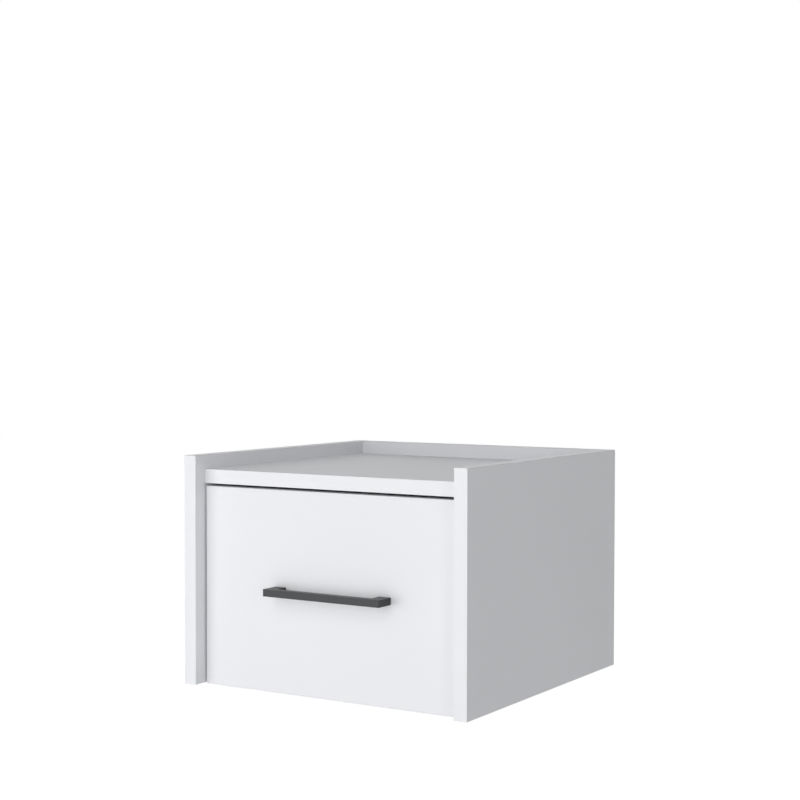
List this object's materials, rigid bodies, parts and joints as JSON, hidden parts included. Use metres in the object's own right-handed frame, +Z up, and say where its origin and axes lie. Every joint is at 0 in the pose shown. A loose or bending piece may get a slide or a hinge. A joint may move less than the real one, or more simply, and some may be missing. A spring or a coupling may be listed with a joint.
{
  "type": "floating nightstand",
  "caption": "Wall-hung bedside cabinet: open tray top between raised sides, an inset full-height drawer on ball-bearing runners and a square bar pull.",
  "frame": {"origin": "centre of the back panel's wall face", "axes": "+X to the right seen from the front, +Y into the wall, +Z up; the drawer opens towards -Y"},
  "size_m": [0.345, 0.3456, 0.245],
  "materials": {
    "white_board": "particle board faced with satin white melamine, edges banded in the same white",
    "white_floor": "thin hardboard, white above and below",
    "graphite_pull": "satin dark graphite powder coat",
    "zinc_plate": "bright zinc-plated steel",
    "zinc_cast": "dull cast zinc alloy",
    "ball_steel": "bright steel cage and polished balls",
    "beech_dowel": "bare beech"
  },
  "bodies": {
    "case": {"left_side_panel": "white_board", "right_side_panel": "white_board", "top_shelf": "white_board", "bottom_panel": "white_board", "back_panel": "white_board", "shelf_left_front_cam": "zinc_cast", "shelf_left_rear_cam": "zinc_cast", "shelf_right_front_cam": "zinc_cast", "shelf_right_rear_cam": "zinc_cast", "bottom_left_cam": "zinc_cast", "bottom_right_cam": "zinc_cast", "shelf_left_front_cam_bolt": "zinc_plate", "shelf_left_rear_cam_bolt": "zinc_plate", "shelf_right_front_cam_bolt": "zinc_plate", "shelf_right_rear_cam_bolt": "zinc_plate", "bottom_left_cam_bolt": "zinc_plate", "bottom_right_cam_bolt": "zinc_plate", "bottom_left_dowel": "beech_dowel", "bottom_right_dowel": "beech_dowel", "back_left_lower_dowel": "beech_dowel", "back_left_upper_dowel": "beech_dowel", "back_right_lower_dowel": "beech_dowel", "back_right_upper_dowel": "beech_dowel", "left_runner_cabinet_member": "zinc_plate", "right_runner_cabinet_member": "zinc_plate", "left_rear_runner_screw": "zinc_plate", "left_front_runner_screw": "zinc_plate", "right_rear_runner_screw": "zinc_plate", "right_front_runner_screw": "zinc_plate"},
    "drawer": {"drawer_front": "white_board", "drawer_left_side": "white_board", "drawer_right_side": "white_board", "drawer_back": "white_board", "drawer_floor": "white_floor", "drawer_pull": "graphite_pull", "pull_left_screw": "zinc_plate", "pull_right_screw": "zinc_plate", "drawer_left_cam": "zinc_cast", "drawer_right_cam": "zinc_cast", "drawer_left_cam_bolt": "zinc_plate", "drawer_right_cam_bolt": "zinc_plate", "drawer_left_dowel": "beech_dowel", "drawer_right_dowel": "beech_dowel", "drawer_back_left_lower_screw": "zinc_plate", "drawer_back_left_upper_screw": "zinc_plate", "drawer_back_right_lower_screw": "zinc_plate", "drawer_back_right_upper_screw": "zinc_plate", "left_runner_drawer_member": "zinc_plate", "right_runner_drawer_member": "zinc_plate", "left_rear_drawer_runner_screw": "zinc_plate", "left_front_drawer_runner_screw": "zinc_plate", "right_rear_drawer_runner_screw": "zinc_plate", "right_front_drawer_runner_screw": "zinc_plate"},
    "left_runner_middle": {"left_runner_middle_member": "zinc_plate"},
    "right_runner_middle": {"right_runner_middle_member": "zinc_plate"},
    "left_outer_cage": {"left_runner_outer_ball_cage": "ball_steel"},
    "right_outer_cage": {"right_runner_outer_ball_cage": "ball_steel"},
    "left_inner_cage": {"left_runner_inner_ball_cage": "ball_steel"},
    "right_inner_cage": {"right_runner_inner_ball_cage": "ball_steel"}
  },
  "joints": [
    {"name": "drawer_slide", "type": "slide", "parent": "case", "child": "drawer", "axis": [0, -1, 0], "range_m": [0, 0.24]},
    {"name": "left_middle_slide", "type": "slide", "parent": "case", "child": "left_runner_middle", "axis": [0, -1, 0], "range_m": [0, 0.12]},
    {"name": "right_middle_slide", "type": "slide", "parent": "case", "child": "right_runner_middle", "axis": [0, -1, 0], "range_m": [0, 0.12]},
    {"name": "left_outer_cage_slide", "type": "slide", "parent": "case", "child": "left_outer_cage", "axis": [0, -1, 0], "range_m": [0, 0.06]},
    {"name": "right_outer_cage_slide", "type": "slide", "parent": "case", "child": "right_outer_cage", "axis": [0, -1, 0], "range_m": [0, 0.06]},
    {"name": "left_inner_cage_slide", "type": "slide", "parent": "case", "child": "left_inner_cage", "axis": [0, -1, 0], "range_m": [0, 0.18]},
    {"name": "right_inner_cage_slide", "type": "slide", "parent": "case", "child": "right_inner_cage", "axis": [0, -1, 0], "range_m": [0, 0.18]}
  ],
  "couplings": [
    {"joint": "left_middle_slide", "follows": "drawer_slide", "ratio": 0.5},
    {"joint": "right_middle_slide", "follows": "drawer_slide", "ratio": 0.5},
    {"joint": "left_outer_cage_slide", "follows": "drawer_slide", "ratio": 0.25},
    {"joint": "right_outer_cage_slide", "follows": "drawer_slide", "ratio": 0.25},
    {"joint": "left_inner_cage_slide", "follows": "drawer_slide", "ratio": 0.75},
    {"joint": "right_inner_cage_slide", "follows": "drawer_slide", "ratio": 0.75}
  ]
}
